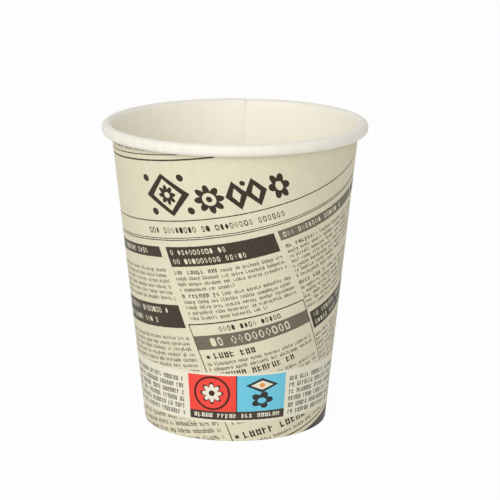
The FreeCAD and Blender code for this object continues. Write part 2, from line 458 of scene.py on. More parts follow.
MIDDLE_COLUMN = (
    bar(-37.9, -4.2, 42.8, 49.0),
    row(-36.9, -18.5, 43.6, 1.9),
    row(-36.9, -13.5, 46.4, 1.9),
    strong(-37.8, -24, 50.0),
    text(-23, -4.2, 50.0, 1),
    text(-37.8, -4.2, 51.8, 2),
    text(-37.8, -20, 55.3, 1),
    strong(-37.8, -26.2, 57.4),
    text(-25.2, -4.2, 57.4, 1),
    text(-37.8, -4.2, 59.2, 3),
    text(-37.8, -14, 64.4, 1),
    bar(-39.1, -2.6, 67.0, 67.4),
    bar(-39.1, -38.8, 67.4, 97.0),
    bar(-2.9, -2.6, 67.4, 97.0),
    row(-30.5, -11.5, 68.3, 1.9),
    bar(-38.8, -2.9, 70.9, 75.4, GREY),
    row(-34.5, -7.5, 71.6, 3.1),
    bar(-37.2, -36.2, 77.3, 78.3),
    capitals(-35.0, -22.2, 76.3, 2.8, 1.6),
    text(-37.8, -4.2, 79.2, 2),
    capitals(-35.05, -11.8, 82.7, 2.8, 1.55),
    text(-37.8, -4.2, 86.0, 5),
    bar(-39.7, -39.4, 98.0, 109.1),
    text(-37.8, -4.2, 95.4, 2),
    text(-37.8, -27, 99.0, 1),
    bar(-38.4, -37.3, 104.0, 105.1),
    capitals(-36.0, -4.8, 103.0, 3.2, 1.95),
    text(-34, -4.2, 106.4, 1),
)

RIGHT_COLUMN = (
    bar(-2.9, 30.6, 42.6, 45.9, GREY),
    row(-1.8, 22, 43.3, 1.9),
    strong(-2.2, 8.0, 47.3),
    text(9.0, 30.6, 47.3, 1),
    text(-2.2, 30.6, 49.1, 5),
    text(-2.2, 14, 57.9, 1),
    strong(-2.2, 9.0, 60.4),
    text(10, 30.6, 60.4, 1),
    text(-2.2, 30.6, 62.2, 4),
    text(-2.2, 20, 69.2, 1),
    bar(-1.9, 30.8, 72.4, 78.7),
    row(-0.9, 21, 73.2, 1.9),
    row(-0.9, 24, 76.0, 1.9),
    text(-2.2, 30.6, 80.4, 9),
    text(-2.2, 30.6, 97.2, 6),
    bar(-39.1, 30.8, 109.0, 109.4),
    bar(-39.1, 30.8, 110.7, 124.0),
)

BAND_TOP, BAND_FOOT, BAND_LEVEL = 8.3, 23.9, 30.0
BAND_STRETCH = 0.5
BAND_BLUR = (0.2, 0.6)
BAND = (
    *(
        Block(left, right, 10.3, 23.1, 6, Setting.CAPITALS, 0.95)
        for left, right in ((-41, -15.75), (16.5, 42), (-88, -46), (47, 88))
    ),
    bar(-13.9, 15.15, 20.5, 23.2),
    Block(-12.6, 13.8, 20.9, 22.8, 1, Setting.STRONG, 1.2),
    bar(0.25, 0.6, 9.1, 20.5),
)
RED_FIELD = Block(-13.9, 0.25, 9.1, 20.5)
BLUE_FIELD = Block(0.6, 15.15, 9.1, 20.5)
RED_MOTIF = (
    Shape(Form.DISC, -6.85, 14.8, 5.4, 5.4),
    Shape(Form.DISC, -6.85, 14.8, 4.75, 4.75, erase=True),
    Shape(Form.ROSETTE, -6.85, 14.8, 3.5, 3.5),
)
RED_HEART = (
    Shape(Form.ROSETTE, -6.85, 14.8, 2.9, 2.9),
    Shape(Form.DISC, -6.85, 14.8, 0.9, 0.9, erase=True),
)
BLUE_MOTIF = (
    Shape(Form.LOZENGE, 7.9, 12.3, 4.9, 2.3),
    Shape(Form.ROSETTE, 7.9, 17.0, 3.4, 2.7, petals=5),
    Shape(Form.DISC, 7.9, 17.2, 1.3, 0.9, erase=True),
)
BLUE_HEART = (Shape(Form.LOZENGE, 7.9, 12.3, 3.3, 1.45),)
ORANGE_HEART = (Shape(Form.DISC, 7.9, 12.3, 0.8, 0.7),)
MASTHEAD = (
    Shape(Form.LOZENGE, -31, 26.7, 7.6, 6.6),
    Shape(Form.LOZENGE, -31, 26.7, 5.0, 4.9, erase=True),
    Shape(Form.ROSETTE, -31, 26.7, 2.9, 3.1),
    Shape(Form.DISC, -31, 26.7, 0.9, 0.9, erase=True),
    *(Shape(Form.DISC, across, down, 1.1, 1.1) for across in (-37.2, -24.8) for down in (21.6, 31.8)),
    Shape(Form.ROSETTE, -18.2, 28.8, 4.5, 4.5),
    Shape(Form.DISC, -18.2, 28.8, 2.0, 2.0, erase=True),
    Shape(Form.DISC, -18.2, 28.8, 0.9, 0.9),
    *(Shape(Form.LOZENGE, across, 28.8, 3.3, 4.6) for across in (-10.1, -4.4)),
    *(Shape(Form.LOZENGE, across, 28.8, 1.3, 2.3, erase=True) for across in (-10.1, -4.4)),
    Shape(Form.DISC, -7.25, 25.4, 0.8, 0.8),
    Shape(Form.ROSETTE, 2.6, 28.8, 3.2, 4.3, petals=6),
    Shape(Form.DISC, 2.6, 28.8, 1.1, 1.5, erase=True),
)


@dataclass(frozen=True)
class MarkSizes:
    """Sizes of the dummy marks and ornaments, as shares of their cell or line, and how often parts come."""

    foot: float = 0.18
    body: float = 0.70
    heavy_rise: float = 0.18
    tall_rise: float = 0.22
    tall_share: float = 0.26
    low_share: float = 0.12
    pen: float = 0.11
    heavy_pen: float = 0.02
    stem: float = 0.2
    second_stem: float = 0.68
    second_share: float = 0.6
    bars: tuple = ((0.2, 0.65), (0.7, 0.7))
    bar_middle: float = 0.44
    bar_half: float = 0.3
    bar_pen: float = 0.06
    width: float = 0.5
    width_range: float = 0.35
    power: float = 1.0
    power_range: float = 3.0
    squash: float = 1.15
    hole_half: tuple = (0.5, 0.6)
    hole_share: float = 0.8
    group: float = 7.0


class Print:
    """Lays blocks and shapes on a surface, as masks worked out from the place on the page.

    A block's lines have their own place: across in cells, down in lines, and a seed. All blocks add theirs
    to one vector, so that the pattern of the marks is worked out only once for a whole area.
    """

    seed_step = 7.3
    petal_depth = 0.42

    def __init__(self, shader: Shader) -> None:
        """Start with nothing printed.

        Args:
            shader: the material's nodes.
        """
        self.shader = shader
        self.mark = MarkSizes()
        self.ground = 0.0
        self.cover = 0.0
        self.setting = 0.0
        self.local = (0.0, 0.0, 0.0)
        self.places = {}
        self.strips = {}

    def box(self, place: Socket, block: Block) -> Socket:
        """Mask a block's box, from one strip across the page and one down it, each made once.

        Args:
            place: across and down the page, in millimetres.
            block: the block.

        Returns:
            The mask.
        """
        if place not in self.places:
            self.places[place] = self.shader.parts(place)
        masks = []
        edges = ((block.left, block.right), (block.top, block.bottom))
        for value, (low, high) in zip(self.places[place], edges):
            key = (value, low, high)
            if key not in self.strips:
                self.strips[key] = self.shader.between(value, low, high)
            masks.append(self.strips[key])
        return self.shader.times(*masks)

    def lay(self, place: Socket, blocks: tuple[Block, ...]) -> None:
        """Lay blocks on the area.

        Args:
            place: across and down the page in millimetres, and a seed.
            blocks: the blocks, none of whose lines overlap.
        """
        s = self.shader
        for number, block in enumerate(blocks):
            mask = self.box(place, block)
            if block.ground:
                self.ground = s.most(self.ground, s.times(mask, block.ground))
            if block.lines:
                lines = block.lines / (block.bottom - block.top)
                start = (-block.left / block.cell, -block.top * lines, number * self.seed_step)
                local = s.vector("MULTIPLY_ADD", place, (1 / block.cell, lines, 1.0), start)
                self.local = s.vector("ADD", self.local, s.scale(local, mask))
                self.cover = s.most(self.cover, mask)
                self.setting = s.line(mask, block.setting.value, self.setting)

    def letters(self, across: Socket, up: Socket, chances: Three) -> Socket:
        """Dummy marks that form no letters: a stem, often a second one, and up to two short bars.

        Args:
            across: place in the cell, from 0 to 1.
            up: place in the line, from 0 at its lower edge to 1.
            chances: three random numbers for each cell.

        Returns:
            The mask.
        """
        s, m = self.shader, self.mark
        _, two, three = chances
        heavy = s.between(self.setting, 0.4, 0.8)
        even = s.near(self.setting, Setting.CAPITALS.value, 0.1)
        half = s.line(heavy, m.heavy_pen, m.pen)
        plain = s.line(heavy, m.heavy_rise, m.body)
        tall = s.times(s.math("GREATER_THAN", two, 1 - m.tall_share), s.invert(heavy))
        low = s.times(s.math("LESS_THAN", two, m.low_share), s.invert(even))
        top = s.line(tall, m.tall_rise, plain)
        foot = s.line(low, -m.foot, m.foot)
        height = s.math("SUBTRACT", plain, m.foot)
        stems = []
        for middle, end, start in ((m.stem, top, foot), (m.second_stem, plain, m.foot)):
            stem = s.times(s.math("LESS_THAN", up, end), s.math("GREATER_THAN", up, start))
            stems.append(s.times(stem, s.near(across, middle, half)))
        second = s.math("GREATER_THAN", three, 1 - m.second_share)
        letters = s.most(stems[0], s.times(stems[1], second))
        pick = s.math("FRACT", s.times(three, 7.0))
        for level, share in m.bars:
            middle = s.line(height, level, m.foot)
            level_mask = s.near(up, middle, m.bar_pen)
            cross = s.times(s.near(across, m.bar_middle, m.bar_half), level_mask)
            drawn = s.math("FRACT", s.line(pick, 5.0, level))
            drawn = s.math("GREATER_THAN", drawn, 1 - share)
            letters = s.most(letters, s.times(cross, drawn))
        return letters

    def ornaments(self, across: Socket, up: Socket, chances: Three) -> Socket:
        """Ornaments |x / width| ^ power + |y| ^ power < 1, lozenges to near squares, most with a hole.

        Args:
            across: place in the cell, from 0 to 1.
            up: place in the line, from 0 at its lower edge to 1.
            chances: three random numbers for each cell, for the hole, the width and the power.

        Returns:
            The mask.
        """
        s, m = self.shader, self.mark
        one, two, three = chances
        wide = s.line(two, m.width_range, m.width)
        px = s.math("ABSOLUTE", s.math("DIVIDE", s.line(across, 2.0, -1.0), wide))
        py = s.math("ABSOLUTE", s.line(up, 2 * m.squash, -m.squash))
        power = s.line(three, m.power_range, m.power)
        size = s.math("ADD", s.math("POWER", px, power), s.math("POWER", py, power))
        hole = s.times(s.near(px, 0.0, m.hole_half[0]), s.near(py, 0.0, m.hole_half[1]))
        hole = s.times(hole, s.math("GREATER_THAN", one, 1 - m.hole_share))
        return s.times(s.math("LESS_THAN", size, 1.0), s.invert(hole))

    def words(self, x: Socket, y: Socket, seed: Socket) -> Socket:
        """Leave one cell bare in every group of cells, at a random place in the group.

        Args:
            x: place along the line, in cells.
            y: place down the block, in lines.
            seed: the block's own number.

        Returns:
            The mask of the other cells.
        """
        s, group_size = self.shader, self.mark.group
        group = s.math("FLOOR", s.math("DIVIDE", x, group_size))
        pick = s.chance(s.join(group, s.math("FLOOR", y), s.math("ADD", seed, 0.5)))[0]
        gap = s.math("ADD", s.math("FLOOR", s.times(pick, group_size - 2)), 1.0)
        inside = s.line(group, -group_size, s.math("FLOOR", x))
        return s.invert(s.near(inside, gap, 0.5))

    def marks(self) -> Socket:
        """Marks and ornaments of every printed line.

        Returns:
            The mask.
        """
        s = self.shader
        x, y, seed = s.parts(self.local)
        across, up = s.math("FRACT", x), s.invert(s.math("FRACT", y))
        chances = s.chance(s.join(s.math("FLOOR", x), s.math("FLOOR", y), seed))
        letters = self.letters(across, up, chances)
        ornament = self.ornaments(across, up, chances)
        fancy = s.near(self.setting, Setting.ORNAMENT.value, 0.1)
        letters = s.times(s.invert(fancy), letters)
        either = s.math("ADD", s.times(fancy, ornament), letters)
        return s.times(s.times(either, self.words(x, y, seed)), self.cover)

    def shapes(self, place: Socket, shapes: tuple[Shape, ...]) -> Socket:
        """Print a set of simple shapes, each over or cut out of those before it.

        With x and y measured in half sizes, a disc is length < 1, a lozenge |x| + |y| < 1, and a rosette
        length < 1 - depth + depth * |cos(petals / 2 * angle)|.

        Args:
            place: across and down the page, in millimetres.
            shapes: the shapes, in the order in which they are laid.

        Returns:
            The mask.
        """
        s = self.shader
        ink = 0.0
        for shape in shapes:
            start = (-shape.across / shape.half_width, -shape.down / shape.half_height, 0.0)
            scale = (1 / shape.half_width, 1 / shape.half_height, 0.0)
            local = s.vector("MULTIPLY_ADD", place, scale, start)
            edge = 1.0
            if shape.form is Form.LOZENGE:
                reach = s.measure("DOT_PRODUCT", s.vector("ABSOLUTE", local), (1.0, 1.0, 0.0))
            else:
                reach = s.measure("LENGTH", local)
            if shape.form is Form.ROSETTE:
                x, y, _ = s.parts(local)
                angle = s.times(s.math("ARCTAN2", y, x), shape.petals / 2)
                petal = s.math("ABSOLUTE", s.math("COSINE", angle))
                edge = s.line(petal, self.petal_depth, 1 - self.petal_depth)
            mask = s.math("LESS_THAN", reach, edge)
            if shape.erase:
                ink = s.times(ink, s.invert(mask))
            else:
                ink = s.most(ink, mask)
        return ink

    def ink(self) -> Socket:
        """Add up the ink: the ground, with the marks bare in it, or the marks alone.

        Returns:
            How much ink lies at a place, from 0 to 1.
        """
        s = self.shader
        marks = self.marks()
        printed = s.times(marks, s.near(self.ground, 0.0, 0.01))
        return s.math("ADD", printed, s.times(s.invert(marks), self.ground))


@dataclass(frozen=True)
class PrintedPaper:
    """Uncoated cream board with dark brown ink, and a pale band with a red and a blue field near the foot.

    The print's edges wander by the wobble, in millimetres. A scale is in features for each millimetre.
    """

    paper: tuple = srgb(226, 219, 192)
    cloud: tuple = srgb(219, 211, 183)
    band: tuple = srgb(234, 229, 208)
    dark: tuple = srgb(44, 30, 16)
    red: tuple = srgb(241, 74, 62)
    blue: tuple = srgb(112, 199, 223)
    orange: tuple = srgb(236, 150, 70)
    shine: float = 0.25
    wobble: float = 0.22
    wobble_scale: float = 2.2
    cloud_scale: float = 0.25
    fibre_scale: float = 2.6
    thin_ink: float = 0.95
    paper_roughness: float = 0.58
    ink_roughness: float = 0.5
    relief: float = 0.05

    def places(self, s: Shader) -> Three:
        """Find the place on the page and in the band, both with the wobble of the print's edges.

        The page lies flat on the developed cone, so that its rules run straight on the sheet and bend
        round the cup. The band follows the foot.

        Args:
            s: the material's nodes.

        Returns:
            Place on the page, place in the band, and drop below the band's own level, in millimetres.
        """
        inputs = {"Vector": s.millimetres(), "Scale": self.wobble_scale, "Detail": 2.0}
        wobble = s.add("TexNoise", inputs, "Color")
        wobble = s.scale(s.vector("SUBTRACT", wobble, (0.5, 0.5, 0.5)), self.wobble)
        wobble = s.vector("MULTIPLY", wobble, (1.0, 1.0, 0.0))
        page = s.vector("ADD", s.attribute("page"), wobble)
        turn, level, _ = s.parts(s.attribute("round"))
        drop = s.math("SUBTRACT", BAND_LEVEL, level)
        place = s.vector("ADD", s.join(s.times(turn, BAND_STRETCH), drop), wobble)
        return page, place, drop

    def page_ink(self, s: Shader, page: Socket) -> Socket:
        """Lay the page's own print, whose three columns repeat round the cup.

        Args:
            s: the material's nodes.
            page: place on the page.

        Returns:
            How much ink there is.
        """
        across, down, _ = s.parts(page)
        width = PAGE_RIGHT - PAGE_LEFT
        repeat = s.math("FLOOR", s.line(across, 1 / width, -PAGE_LEFT / width))
        wrapped = s.math("WRAP", across, PAGE_RIGHT, PAGE_LEFT)
        wrapped = s.join(wrapped, down, s.times(repeat, PAGE_SEED))
        sheet = Print(s)
        sheet.lay(page, UPPER_PAGE)
        sheet.lay(wrapped, LEFT_COLUMN + MIDDLE_COLUMN + RIGHT_COLUMN)
        return s.most(sheet.ink(), sheet.shapes(page, MASTHEAD))

    def make(self) -> bpy.types.Material:
        """Write the material: paper, band and fields below, ink over them, and the motifs' hearts on top.

        Returns:
            The material.
        """
        s = Shader.named("printed_cream_board")
        page, place, drop = self.places(s)
        page_ink = self.page_ink(s, page)

        label = Print(s)
        label.lay(place, BAND)
        in_band = s.between(drop, BAND_TOP, BAND_FOOT)
        above = s.spread(drop, BAND_TOP - BAND_BLUR[0], BAND_TOP + BAND_BLUR[1])
        below = s.spread(drop, BAND_FOOT - BAND_BLUR[1], BAND_FOOT + BAND_BLUR[0], 1.0, 0.0)
        motif = s.most(label.shapes(place, RED_MOTIF), label.shapes(place, BLUE_MOTIF))
        label_ink = s.most(label.ink(), s.times(motif, DARK))

        soft = s.noise(s.millimetres(), self.cloud_scale, 4.0, 0.6)
        fibre = s.noise(s.millimetres(), self.fibre_scale, 4.0, 0.7)
        clouds = s.even(s.weigh(fibre, 0.45, soft, 0.55))
        paper = s.blend(clouds, self.cloud, self.paper)
        ground = s.blend(s.times(above, below), paper, self.band)
        ground = s.blend(label.box(place, RED_FIELD), ground, self.red)
        ground = s.blend(label.box(place, BLUE_FIELD), ground, self.blue)
        page_ink = s.times(page_ink, s.invert(in_band))
        amount = s.math("ADD", page_ink, s.times(label_ink, in_band))
        amount = s.times(amount, s.spread(fibre, 0.3, 0.6, self.thin_ink, 1.0))
        colour = s.blend(amount, ground, self.dark)
        hearts = s.most(label.shapes(place, RED_HEART), label.shapes(place, BLUE_HEART))
        colour = s.blend(s.times(hearts, in_band), colour, self.band)
        heart = s.times(label.shapes(place, ORANGE_HEART), in_band)
        colour = s.blend(heart, colour, self.orange)
        rough = s.spread(amount, 0.0, 1.0, self.paper_roughness, self.ink_roughness)
        relief = s.weigh(fibre, 0.6, soft, 0.4)
        normal = s.bump(relief, 0.35, self.relief)
        return s.finish(Base_Color=colour, Roughness=rough, Specular_IOR_Level=self.shine, Normal=normal)


@dataclass(frozen=True)
class CoatedPaper:
    """White board with a thin smooth coating: long faint fibres, and fine crimps on the rolled rim, where
    the colour is darkened as painted shade.
    """

    name: str = "coated_white_board"
    colour: tuple = srgb(252, 248, 234)
    cloud: tuple = srgb(250, 245, 229)
    # painted shade: the darker colour that the rolled rim is blended towards
    painted_rim_shade: tuple = srgb(234, 230, 218)
    roughness: float = 0.42
    fibre_scale: float = 3.2
    crimp_scale: float = 0.55
    rim_start: float = -0.2
    rim_full: float = 1.2
    relief: float = 0.06
    crimped: bool = False

    def make(self) -> bpy.types.Material:
        """Write the material.

        Returns:
            The material.
        """
        s = Shader.named(self.name)
        place = s.millimetres()
        soft = s.noise(s.vector("MULTIPLY", place, (0.3, 0.3, 0.08)), 1.0, 3.0)
        fibre = s.noise(place, self.fibre_scale, 4.0, 0.7)
        relief = s.weigh(soft, 0.5, fibre, 0.35)
        colour = s.blend(s.even(s.weigh(fibre, 0.4, soft, 0.6)), self.cloud, self.colour)
        if self.crimped:
            turn, _, past = s.parts(s.attribute("round"))
            crimps = s.noise(s.join(turn, s.times(past, 0.15)), self.crimp_scale, 2.0)
            rim = s.spread(past, self.rim_start, self.rim_full)
            relief = s.line(s.times(crimps, rim), 0.8, relief)
            # painted shade: the rolled rim is darkened, most in the crimps' hollows, standing in for shade
            # on the rim and in its crimps
            rim = s.times(rim, s.spread(crimps, 0.3, 0.6, 1.0, 0.7))
            colour = s.blend(rim, colour, self.painted_rim_shade)
        rough = s.spread(soft, 0.3, 0.7, self.roughness - 0.05, self.roughness + 0.08)
        return s.finish(Base_Color=colour, Roughness=rough, Normal=s.bump(relief, 0.3, self.relief))


@dataclass(frozen=True)
class CutEdge:
    """The raw edge of the board: a pale core with its plies and loose fibres."""

    core: tuple = srgb(236, 229, 208)
    ply: tuple = srgb(205, 194, 166)
    roughness: float = 0.85
    fibre_scale: float = 6.0
    relief: float = 0.05

    def make(self) -> bpy.types.Material:
        """Write the material.

        Returns:
            The material.
        """
        s = Shader.named("raw_board_edge")
        fibre = s.noise(s.millimetres(), self.fibre_scale, 4.0, 0.8)
        colour = s.blend(s.spread(fibre, 0.35, 0.7), self.core, self.ply)
        normal = s.bump(fibre, 0.6, self.relief)
        return s.finish(Base_Color=colour, Roughness=self.roughness, Normal=normal)


@dataclass(frozen=True)
class Patch:
    """A grid of a skin's points with one finish, and its box (left, right, low, high) on the bake map."""

    slot: int
    grid: np.ndarray
    along: np.ndarray
    across: np.ndarray
    box: tuple[float, float, float, float]
    turned: bool = False

    def cells(self, values: np.ndarray) -> np.ndarray:
        """Corners of each cell of a grid of values, in the order that turns the face outwards.

        Args:
            values: what the grid holds, with any number of values for each point.

        Returns:
            One row of four corners for each cell.
        """
        corners = (values[:-1, :-1], values[1:, :-1], values[1:, 1:], values[:-1, 1:])
        stacked = np.stack(corners[::-1] if self.turned else corners, axis=2)
        return stacked.reshape(-1, *stacked.shape[2:])

    def slots(self) -> np.ndarray:
        """The finish of each cell."""
        return np.full((self.grid.shape[0] - 1) * (self.grid.shape[1] - 1), self.slot)

    def places(self) -> np.ndarray:
        """Place of each cell's corners on the bake map, spaced as the grid's columns and rows are.

        Returns:
            Two numbers for each of the four corners of each cell.
        """
        left, right, low, high = self.box
        x = np.interp(self.along, (self.along[0], self.along[-1]), (left, right))
        y = np.interp(self.across, (self.across[0], self.across[-1]), (low, high))
        return self.cells(np.stack(np.meshgrid(x, y, indexing="ij"), axis=-1))


@dataclass
class SideSheet:
    """The printed blank: wound once round, lapped, rolled out at the rim and folded in at the foot.

    A column is a place round the cup. A station is a place along the path: hem, fold, fold, wall, roll.
    """

    cup: CupSizes
    columns_round: int = 290
    columns_ramp: int = 14
    columns_lap: int = 12
    lap_margin: float = 3.0
    hem_stations: int = 4
    fold_stations: int = 8
    wall_stations: int = 56
    roll_stations: int = 22
    tuck_stations: int = 16
    pressed_share: float = 0.48
    press_turns: float = 2.5
    fold_clear: float = 0.3
    skive_share: float = 0.92
    skive_turns: float = 2.6
    skive_foot: float = 0.3
    skive_fade: float = 1.5
    ghost_depth: float = 0.03
    ghost_foot: float = 12.0
    ghost_fades: tuple = (8.0, 6.0)
    ghost_turns: tuple = (1.2, 1.6)

    @property
    def wall_start(self) -> int:
        """Station where the straight wall begins."""
        return self.hem_stations + 2 * self.fold_stations - 1

    @property
    def wall_end(self) -> int:
        """Station where the wall ends and the roll begins."""
        return self.wall_start + self.wall_stations - 1

    def on_line(self, offset: np.ndarray, height: np.ndarray) -> tuple[np.ndarray, np.ndarray]:
        """Point at a height, on the line parallel to the wall's inner face and offset from it outwards.

        Radius is corner radius + offset / cos(lean) + tan(lean) * (height - corner height).

        Args:
            offset: distance from the wall's inner face, in millimetres.
            height: height, in millimetres.

        Returns:
            Radius and height.
        """
        corner_radius, corner_height = self.cup.corner
        lean = self.cup.lean
        radius = corner_radius + offset / math.cos(lean) + math.tan(lean) * (height - corner_height)
        return radius, height + 0 * radius

    def turns(self) -> np.ndarray:
        """Divide the way round the cup, from the inner cut edge to the outer one, shortest at the seam.

        Returns:
            Degrees round the cup, one for each column.
        """
        cup = self.cup
        past_lap = cup.lap + self.lap_margin
        first = np.linspace(0, past_lap, self.columns_lap)
        around = np.linspace(past_lap, 360 - cup.ramp, self.columns_round)
        ramp = np.linspace(360 - cup.ramp, 360, self.columns_ramp)
        lap = np.linspace(360, 360 + cup.lap, self.columns_lap)
        return np.concatenate([first, around[1:], ramp[1:], lap[1:]])

    def pressed(self, turns: np.ndarray, depth: float) -> np.ndarray:
        """Depth of a face under the foot, where the two plies share one thickness.

        The inner ply holds the share of the sheet next to the cup, and the outer ply the rest.

        Args:
            turns: degrees round the cup, one for each column.
            depth: distance from the coated face, in millimetres.

        Returns:
            The depth at every column, in millimetres.
        """
        cup, thin = self.cup, self.pressed_share
        outer = smooth((turns - (360 - cup.ramp)) / cup.ramp)[:, None]
        inner = 1 - smooth((turns - cup.lap) / self.press_turns)[:, None]
        single = (1 - inner - outer) * depth
        return inner * thin * depth + outer * ((1 - thin) * cup.sheet + thin * depth) + single

    def seam_relief(self, turns: np.ndarray, height: np.ndarray, depth: float) -> np.ndarray:
        """Thin the inner ply towards its cut edge, and press the lap in by a trace.

        Each is a product of soft steps round the cup and up the wall.

        Args:
            turns: degrees round the cup, one for each column.
            height: height of the points, as columns by stations.
            depth: distance of the face from the coated one, in millimetres.

        Returns:
            How far each point moves outwards, in millimetres.
        """
        cup = self.cup
        station = np.arange(height.shape[1])
        on_wall = (station >= self.wall_start) & (station <= self.wall_end)
        room = cup.roll[1] - height
        skived = self.skive_share * (cup.sheet - depth) * smooth(1 - turns / self.skive_turns)[:, None]
        skived = skived * smooth((height - self.skive_foot) / self.skive_fade)
        skived = skived * smooth(room / self.skive_fade)
        beyond, fade = self.ghost_turns
        ghost = self.ghost_depth * smooth((height - self.ghost_foot) / self.ghost_fades[0])
        ghost = ghost * smooth(room / self.ghost_fades[1])
        ghost = ghost * smooth((cup.lap + beyond - turns) / fade)[:, None]
        return on_wall * (skived - ghost)

    def face(self, turns: np.ndarray, depth: float) -> tuple[np.ndarray, np.ndarray, np.ndarray]:
        """Section of one face of the sheet at every column.

        A round stretch is centre + radius * (cos, sin), with the depth added to the radius in the folds and
        taken from it in the roll. A straight stretch runs between the ends of its neighbours. Between the
        plies, the outer one is shifted by one step.

        Args:
            turns: degrees round the cup, one for each column.
            depth: distance from the coated face, in millimetres.

        Returns:
            Radius, height and length along the path, each as columns by stations.
        """
        cup, lean = self.cup, self.cup.lean
        out = np.array([math.cos(lean), -math.sin(lean)])
        shift = smooth((turns - (360 - cup.ramp)) / cup.ramp)[:, None] * cup.step
        pressed = self.pressed(turns, depth)
        bend, low = cup.fold_inside, cup.sheet + cup.fold_inside
        hem_offset = -(cup.skirt_room + shift)
        hem_centre = self.on_line(hem_offset + bend, low)
        wall_centre = self.on_line(shift - bend, low)
        down, right = math.radians(270), 2 * math.pi - lean
        count = self.fold_stations

        heights = np.linspace(cup.hem_end, low + self.fold_clear, self.hem_stations)[None, :]
        hem = self.on_line(hem_offset, heights)
        hem = hem[0] - out[0] * depth, hem[1] - out[1] * depth
        hem_fold = arc(hem_centre, bend + depth, math.pi - lean, down, count, pressed - depth)
        wall_fold = arc(wall_centre, bend + pressed, down, right, count, depth - pressed)
        roll_radius = cup.curl_radius - shift - depth
        roll_start = cup.roll[0] - out[0] * roll_radius, cup.roll[1] - out[1] * roll_radius
        rise = np.linspace(0, 1, self.wall_stations)[None, 1:-1]
        wall = tuple(wall_fold[i][:, -1:] * (1 - rise) + roll_start[i] * rise for i in (0, 1))
        lower = cup.roll[0], cup.roll[1] - cup.curl_straight
        none = 0 * roll_radius
        over = arc(cup.roll, roll_radius, math.pi - lean, 0, self.roll_stations, none)
        tuck = arc(lower, roll_radius, 0, -math.radians(cup.curl_tuck), self.tuck_stations, none)

        stretches = [hem, hem_fold, wall_fold, wall, over, tuck]
        radius, height = (np.concatenate([part[i] for part in stretches], axis=1) for i in (0, 1))
        radius = radius + self.seam_relief(turns, height, depth)
        steps = np.hypot(np.diff(radius, axis=1), np.diff(height, axis=1))
        return radius, height, np.concatenate([0 * radius[:, :1], np.cumsum(steps, axis=1)], axis=1)

    def build(self) -> bpy.types.Object:
        """Make the sheet as one closed skin: coated face, printed face and the four cut edges.

        Returns:
            The piece, with its page, band and bake coordinates.
        """
        turns = self.turns()
        faces = [self.face(turns, 0.0), self.face(turns, self.cup.sheet)]
        azimuth = np.radians(self.cup.seam + turns)[:, None]
        points = [
            np.stack([radius * np.cos(azimuth), radius * np.sin(azimuth), height], axis=-1)
            for radius, height, _ in faces
        ]
        patches = self.patches(turns, faces[1][2].mean(axis=0))
        piece = build_mesh(
            "printed_side_sheet",
            np.concatenate([p.reshape(-1, 3) for p in points]),
            np.concatenate([patch.cells(patch.grid) for patch in patches]),
            np.concatenate([patch.slots() for patch in patches]),
        )
        layer = piece.data.uv_layers.new(name="OFBake")
        layer.data.foreach_set("uv", np.concatenate([patch.places() for patch in patches]).ravel())
        self.mark_page(piece, turns, faces)
        return piece

    def patches(self, turns: np.ndarray, length: np.ndarray) -> list[Patch]:
        """Divide the skin into grids: the printed face in three, the coated face, and the four cut edges.

        Args:
            turns: degrees round the cup, one for each column.
            length: length along the path, one for each station.

        Returns:
            The patches, each with its own box on the bake map.
        """
        columns, stations = len(turns), len(length)
        inner, outer = np.arange(2 * columns * stations).reshape(2, columns, stations)
        middle = FRONT - self.cup.seam
        front, back = np.searchsorted(turns, (middle - 90, middle + 90))
        patches = [
            Patch(PRINTED, outer[:front + 1], turns[:front + 1], length, BAKE_BACK_LEFT),
            Patch(PRINTED, outer[front:back + 1], turns[front:back + 1], length, BAKE_FRONT),
            Patch(PRINTED, outer[back:], turns[back:], length, BAKE_BACK_RIGHT),
            Patch(COATED, inner, turns, length, BAKE_INSIDE, turned=True),
        ]
        cuts = (
            (inner[:, 0], outer[:, 0], turns, False),
            (inner[:, -1], outer[:, -1], turns, True),
            (inner[0], outer[0], length, True),
            (inner[-1], outer[-1], length, False),
        )
        for number, (first, second, along, turned) in enumerate(cuts):
            low = BAKE_CUT_LOW + BAKE_CUT_STEP * number
            box = (*BAKE_INSIDE[:2], low, low + BAKE_CUT_HEIGHT)
            grid = np.stack([first, second], axis=1)
            patches.append(Patch(EDGE, grid, along, np.array([0.0, 1.0]), box, turned))
        return patches

    def mark_page(self, piece: bpy.types.Object, turns: np.ndarray, faces: list) -> None:
        """Keep each point's place on the page, and its turn, level and path length past the roll's start.

        The level is the height that the point has before the sheet is folded and rolled. The cone is
        unrolled: distance from its tip is foot radius / sin(lean) + length up the wall, and the angle at
        the tip is the turn round the cup * sin(lean). The page's two axes are tilted against that.

        Args:
            piece: the sheet.
            turns: degrees round the cup, one for each column.
            faces: radius, height and length of the coated and the printed face.
        """
        cup = self.cup
        turn = np.radians(turns + cup.seam - FRONT)[:, None]
        area = math.cos(ROW_TILT - COLUMN_TILT)
        start, end = self.wall_start, self.wall_end
        page, around = [], []
        for _, height, length in faces:
            up_wall = length - length[:, start:start + 1]
            reach = cup.foot_radius / math.sin(cup.lean) + up_wall
            angle = turn * math.sin(cup.lean)
            x, y = reach * np.sin(angle), PAGE_TOP - reach * np.cos(angle)
            across = (math.cos(ROW_TILT) * x - math.sin(ROW_TILT) * y) / area
            down = (math.sin(COLUMN_TILT) * x + math.cos(COLUMN_TILT) * y) / area
            page.append(np.stack([across, down, 0 * x], axis=-1).reshape(-1, 3))
            past = length - length[:, end:end + 1]
            level = height[:, start:start + 1] + up_wall * math.cos(cup.lean)
            around.append(np.stack([np.degrees(turn) + 0 * x, level, past], axis=-1).reshape(-1, 3))
        for name, values in (("page", page), ("round", around)):
            layer = piece.data.attributes.new(name, "FLOAT_VECTOR", "POINT")
            layer.data.foreach_set("vector", np.concatenate(values).ravel())


